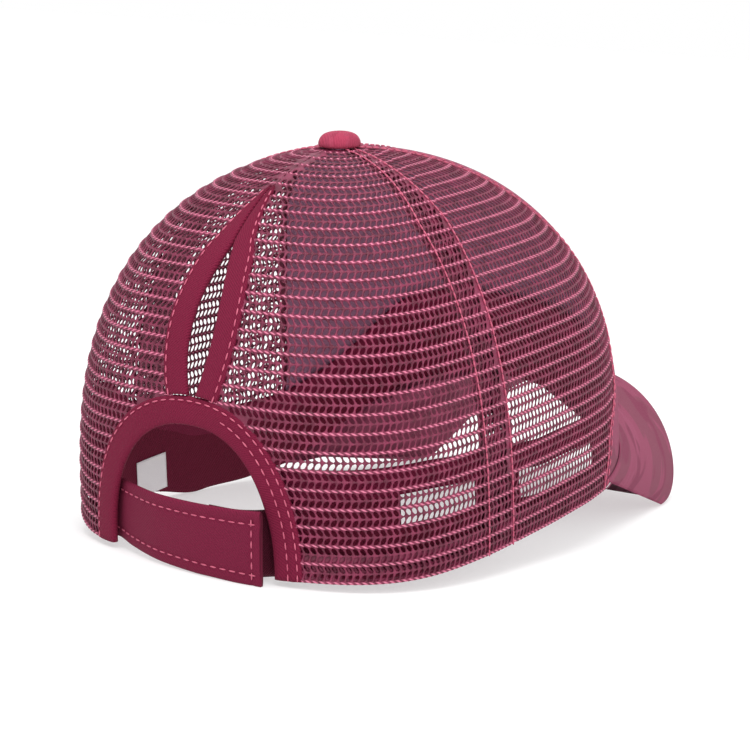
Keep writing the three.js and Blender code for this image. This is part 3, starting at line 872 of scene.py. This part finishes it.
bandColumns = round((360 - 2 * bandStart(0)) / band["step"])
sheet = gridSheet(bandColumns, band["rows"])
flat, turns = {}, {}
for vert, i, j in gridPlaces(sheet, bandColumns, band["rows"]):
    turn = mix(bandStart(0), 360 - bandStart(0), i / bandColumns)
    angle = math.radians(turn if turn <= 180 else turn - 360)
    top, foot = bandTop(angle), rimHeight(angle) + band["rimGap"]
    slotTop = top - band["tape"]
    marks = [(0, foot), (band["slotFootRow"], slotTop - band["slotHeight"]), (band["slotTopRow"], slotTop),
             (band["rows"], top)]
    k = sum(j >= mark[0] for mark in marks[1:3])
    (startRow, start), (endRow, end) = marks[k], marks[k + 1]
    height = mix(start, end, (j - startRow) / (endRow - startRow))
    fromEnd = min(i, bandColumns - i) / band["endColumns"]
    if fromEnd < 1:
        nearer = (bandStart(0) - bandStart(height)) * (1 - fromEnd)
        angle -= math.copysign(math.radians(nearer), angle)
    turns[vert] = (turn, j)
    flat[vert] = (turn * band["degreeWidth"], height)
    vert.co = onFloor(settle(crownPoint(angle, height, -band["depth"])))
keepFlat(sheet, flat)
holes = []
for face in sheet.faces:
    turn = sum(turns[vert][0] for vert in face.verts) / 4
    row = sum(turns[vert][1] for vert in face.verts) / 4
    # rows above the slots take the lighter copy, painted light; rows below keep the darker copy, painted
    # shade
    if row > band["slotTopRow"]:
        face.material_index = 1
    elif row > band["slotFootRow"] and any(low < turn < high for low, high in bandSlots):
        holes.append(face)
bmesh.ops.delete(sheet, geom=holes, context="FACES")
bandPiece = makePiece(sheet, "sweatbandCloth", shadedBandTwill)
bandPiece.data.materials.append(litBandTape)
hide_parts("sweatband")
addModifier(bandPiece, "SOLIDIFY", thickness=band["wall"] * 0.001, offset=-1)
print("sweatband made")

peak = {"halfWidth": 58, "tipReach": 134, "reach": 176, "wall": 3, "frontHeight": 11, "tipDrop": 41,
        "curl": 0.92, "round": 2.3, "ease": 0.25, "edge": 0.03, "columns": 96, "rows": 26,
        "cutWidth": 150, "cutReach": 62, "cutStart": 200}


def peakEdge(share):
    turn = abs(share) * math.pi / 2
    x = math.copysign(peak["halfWidth"] * math.sin(turn) ** (2 / peak["round"]), share)
    reach = peak["tipReach"] + (peak["reach"] - peak["tipReach"]) * math.cos(turn) ** (2 / peak["round"])
    curl = 1 - math.sqrt(1 - (peak["curl"] * abs(x) / peak["halfWidth"]) ** 2)
    full = 1 - math.sqrt(1 - peak["curl"] ** 2)
    return Vector((x, -reach, peak["frontHeight"] - peak["tipDrop"] * curl / full))


def peakRoot(share):
    angle = math.pi + share * (math.pi - crown["frontSeam"])
    around = angle - 2 * math.pi if angle > math.pi else angle
    return crownPoint(angle, rimHeight(around) + peak["wall"], 0.3)


def peakSkin(across, along):
    return peakRoot(across).lerp(peakEdge(across), along)


def peakNormal(across, along):
    step = 0.01
    beside = peakSkin(min(across + step, 1), along) - peakSkin(max(across - step, -1), along)
    ahead = peakSkin(across, along + step) - peakSkin(across, along - step)
    up = ahead.cross(beside).normalized()
    return up.lerp(Vector((0, 0, 1)), 1 - min(along / peak["ease"], 1)).normalized()


def peakPlace(u, v):
    across = mix(-1, 1, u)
    ring = v * 2
    half = peak["wall"] / 2
    along = ring if ring <= 1 else 2 - ring
    edge = 1 - clamp((1 - along) / peak["edge"])
    deep = half * math.sqrt(max(1 - edge * edge, 0.0))
    spot, up = peakSkin(across, along), peakNormal(across, along)
    middle = spot - up * half
    return onFloor(settle(middle + up * (deep if ring <= 1 else -deep)))


def peakFlat(u, v):
    return min(v, 1 - v) * 2 * peak["cutReach"] + peak["cutStart"], (u - 0.5) * peak["cutWidth"]


peakPiece = sweep("peakCloth", camouflageCloth, peak["columns"], 2 * peak["rows"],
                  peakPlace, peakFlat)
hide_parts("peak")
print("peak made")

button = {"radius": 7.5, "height": 5.5, "lift": 0.3, "steps": 40, "fold": 0.018, "foldTop": 0.75, "folds": 10}
profile = [(0, 0), (0.6, 0.02), (0.97, 0.05), (1.02, 0.18), (1.0, 0.36), (0.92, 0.62), (0.76, 0.84),
           (0.5, 0.96), (0.25, 1.0), (0, 1.02)]
sheet = bmesh.new()
verts = [sheet.verts.new((radius * button["radius"], 0, height * button["height"]))
         for radius, height in profile]
edges = [sheet.edges.new(pair) for pair in zip(verts, verts[1:])]
bmesh.ops.spin(sheet, geom=verts + edges, axis=(0, 0, 1), cent=(0, 0, 0), steps=button["steps"],
               angle=2 * math.pi, use_merge=True)
bmesh.ops.remove_doubles(sheet, verts=sheet.verts, dist=0.0005)
bmesh.ops.recalc_face_normals(sheet, faces=sheet.faces)
keepFlat(sheet, {vert: (vert.co.x, vert.co.y) for vert in sheet.verts})
for vert in sheet.verts:
    x, y, z = vert.co
    low = clamp(1 - z / (button["height"] * button["foldTop"]))
    squeeze = 1 - button["fold"] * low * (0.5 + 0.5 * math.cos(math.atan2(y, x) * button["folds"]))
    vert.co = settle((x * squeeze, y * squeeze + crown["topShift"], z + hubHeight + button["lift"]))
buttonPiece = makePiece(sheet, "coveredButton", buttonCloth)
addModifier(buttonPiece, "SUBSURF", levels=1, render_levels=1)
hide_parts("button")

label = {"width": 18, "height": 13.5, "wall": 0.3, "gap": 0.3, "angle": math.radians(-74), "bow": 0.5,
         "columns": 16, "rows": 14}
sheet = gridSheet(label["columns"], label["rows"])
flat = {}
labelFoot = rimHeight(label["angle"]) + label["gap"]
labelDepth = band["depth"] + band["wall"] + label["gap"]
for vert, i, j in gridPlaces(sheet, label["columns"], label["rows"]):
    u, v = i / label["columns"], j / label["rows"]
    height = labelFoot + label["height"] * v
    angle = shiftAngle(label["angle"], height, (u - 0.5) * label["width"])
    lift = label["bow"] * (1 - v) ** 2 * (0.6 + 0.4 * math.sin(u * 3))
    flat[vert] = (u * label["width"], v * label["height"])
    vert.co = settle(crownPoint(angle, height, -labelDepth - lift))
keepFlat(sheet, flat)
labelPiece = makePiece(sheet, "careLabel", ribbon)
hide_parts("care_label")
addModifier(labelPiece, "SOLIDIFY", thickness=label["wall"] * 0.001, offset=0)
print("button and label made")


def makeStitchGroup():
    group = bpy.data.node_groups.new("stitch row", "GeometryNodeTree")
    for name, kind in (("Geometry", "NodeSocketGeometry"), ("Spacing", "NodeSocketFloat"),
                       ("Length", "NodeSocketFloat"), ("Thickness", "NodeSocketFloat")):
        group.interface.new_socket(name=name, in_out="INPUT", socket_type=kind)
    group.interface.new_socket(name="Geometry", in_out="OUTPUT", socket_type="NodeSocketGeometry")
    ends = addNode(group, "NodeGroupInput")
    out = addNode(group, "NodeGroupOutput")
    curve = addNode(group, "GeometryNodeMeshToCurve")
    spaced = addNode(group, "GeometryNodeResampleCurve", mode="LENGTH")
    bead = addNode(group, "GeometryNodeMeshUVSphere")
    bead.inputs["Segments"].default_value = 6
    bead.inputs["Rings"].default_value = 5
    bead.inputs["Radius"].default_value = 0.5
    paint = addNode(group, "GeometryNodeSetMaterial")
    paint.inputs["Material"].default_value = seamThread
    size = addNode(group, "ShaderNodeCombineXYZ")
    shaped = addNode(group, "GeometryNodeTransform")
    tangent = addNode(group, "GeometryNodeInputTangent")
    turn = addNode(group, "FunctionNodeAlignRotationToVector", axis="Z")
    spread = addNode(group, "GeometryNodeInstanceOnPoints")
    real = addNode(group, "GeometryNodeRealizeInstances")
    shade = addNode(group, "GeometryNodeSetShadeSmooth")
    for start, output, end, socket in (
            (ends, "Geometry", curve, 0), (curve, 0, spaced, "Curve"), (ends, "Spacing", spaced, "Length"),
            (ends, "Thickness", size, 0), (ends, "Thickness", size, 1), (ends, "Length", size, 2),
            (bead, "Mesh", shaped, "Geometry"), (size, 0, shaped, "Scale"), (tangent, 0, turn, "Vector"),
            (spaced, 0, spread, "Points"), (shaped, 0, spread, "Instance"), (turn, 0, spread, "Rotation"),
            (spread, 0, real, 0), (real, 0, shade, "Geometry"), (shade, 0, paint, "Geometry"),
            (paint, 0, out, 0)):
        group.links.new(start.outputs[output], end.inputs[socket])
    return group


stitchGroup = makeStitchGroup()


def stitchRow(name, points, size=sewing):
    sheet = bmesh.new()
    verts = [sheet.verts.new(point) for point in points]
    for before, after in zip(verts, verts[1:]):
        sheet.edges.new((before, after))
    piece = makePiece(sheet, name, seamThread, False)
    modifier = addModifier(piece, "NODES", node_group=stitchGroup)
    for item in stitchGroup.interface.items_tree:
        if item.name.lower() in size:
            modifier[item.identifier] = size[item.name.lower()] * 0.001


def shares(count, start=0.0, end=1.0):
    return [mix(start, end, n / count) for n in range(count + 1)]


# how far the stitches stand off the cloth they lie on
stand = sewing["stand"] - sewing["sink"]
proud = arch["proud"] + stand
stitchRow("stitches.arch", [archSpot(u, arch["row"], proud) for u in shares(160, 0.004, 0.996)])
stitchRow("stitches.archRight",
          [archSpot(u, arch["secondRow"], proud) for u in shares(70, 0.004, arch["secondEnd"])])
slitLane = 1 - slit["row"] / arch["width"]
for word, side in (("right", 1), ("left", -1)):
    stitchRow("stitches.slit." + word,
              [slitSpot(side, u, slitLane, proud) for u in shares(90, 0.01, 0.97)])


def strapSpot(u, v):
    return bandSpot(strapRoute, strapStart, strapEnd, u, v, stand)


strapLane, strapEndLane = strap["row"] / strap["middleHeight"], 1 - strap["row"] / strap["length"]
for word, lane in (("bottom", strapLane), ("top", 1 - strapLane)):
    stitchRow("stitches.strap." + word, [strapSpot(u, lane) for u in shares(90, 0.02, 0.955)])
stitchRow("stitches.strap.end", [strapSpot(strapEndLane, v) for v in shares(30, 0.15, 0.85)])


# a row up the crown beside a seam
def crownRow(name, side, angleAt, offset, start, end, size=sewing):
    points = []
    for along in shares(150, start * skinLength, end * skinLength):
        height = heightAlong(along)
        angle = side * angleAt(height)
        points.append(settle(crownPoint(angle, fromRim(angle, height), offset)))
    stitchRow(name, points, size)


seamSize = {"spacing": 2.6, "length": 2.7, "thickness": 0.72}
for word, side in (("right", 1), ("left", -1)):
    def besideSeam(height, shift):
        return shiftAngle(frontSeamAt(height, side), height, shift)

    for place, shift in (("Back", -1), ("Front", 1)):
        crownRow("stitches.side" + place + "." + word, side,
                 lambda height: shiftAngle(crown["sideSeam"], height, shift * (lapWidth(height) - 0.6)),
                 0.42, 0.005, 0.985, seamSize)
    crownRow("stitches.front." + word, side, lambda height: besideSeam(height, -1.6),
             0.4, 0.01, 0.985, seamSize)
    crownRow("stitches.panel." + word, side, lambda height: besideSeam(height, 2.2),
             0.25, 0.01, 0.98)
    crownRow("stitches.centre." + word, side, lambda height: shiftAngle(math.pi, height, -2.4),
             0.25, 0.02, 0.98)
print("stitches made")

view = {"eye": (-456.686, 661.705, 246.692), "azimuth": 34.068, "elevation": 14.169, "lens": 110.54}


# a direction of the upright cap, tipped with it
def tip(way):
    return Vector((way.x, way.y * math.cos(tilt) + way.z * math.sin(tilt),
                   way.z * math.cos(tilt) - way.y * math.sin(tilt)))


azimuth, elevation = math.radians(view["azimuth"]), math.radians(view["elevation"])
back = Vector((-math.sin(azimuth) * math.cos(elevation), math.cos(azimuth) * math.cos(elevation),
               math.sin(elevation)))
right = Vector((-math.cos(azimuth), -math.sin(azimuth), 0))
turned = Matrix([tip(right), tip(back.cross(right)), tip(back)]).transposed()
lens = bpy.data.cameras.new("camera")
lens.sensor_width = 36
lens.lens = view["lens"]
camera = bpy.data.objects.new("camera", lens)
camera.matrix_world = Matrix.Translation(settle(view["eye"])) @ turned.to_4x4()
bpy.context.scene.collection.objects.link(camera)
bpy.context.scene.camera = camera


def placeLight(name, spot, target, size, watts):
    data = bpy.data.lights.new(name, "AREA")
    data.size = size
    data.energy = watts
    light = bpy.data.objects.new(name, data)
    light.location = spot
    light.rotation_euler = (Vector(target) - Vector(spot)).to_track_quat("-Z", "Y").to_euler()
    bpy.context.scene.collection.objects.link(light)


placeLight("softTop", (-0.2, 0.35, 1.3), (0, 0, 0.05), 0.8, 10)
placeLight("softBack", (-1.2, 1.0, 0.8), (0, 0, 0.06), 0.6, 5)

sheet = gridSheet(1, 1)
bmesh.ops.scale(sheet, vec=(300, 300, 1), verts=sheet.verts)
floorMesh = bpy.data.meshes.new("floor")
sheet.to_mesh(floorMesh)
sheet.free()
floor = bpy.data.objects.new("floor", floorMesh)
bpy.context.scene.collection.objects.link(floor)
floorPaint = bpy.data.materials.new("pale floor")
floorPaint.use_nodes = True
for socket, value in (("Base Color", (0.5, 0.5, 0.5, 1)), ("Roughness", 0.9),
                      ("Emission Color", (1, 1, 1, 1)), ("Emission Strength", 0.5)):
    floorPaint.node_tree.nodes["Principled BSDF"].inputs[socket].default_value = value
floorMesh.materials.append(floorPaint)

world = bpy.data.worlds.new("studio")
world.use_nodes = True
world.node_tree.nodes["Background"].inputs[0].default_value = (1, 1, 1, 1)
world.node_tree.nodes["Background"].inputs[1].default_value = 1.0
bpy.context.scene.world = world
bpy.context.scene.view_settings.view_transform = "Standard"
print("camera, lights and floor placed")
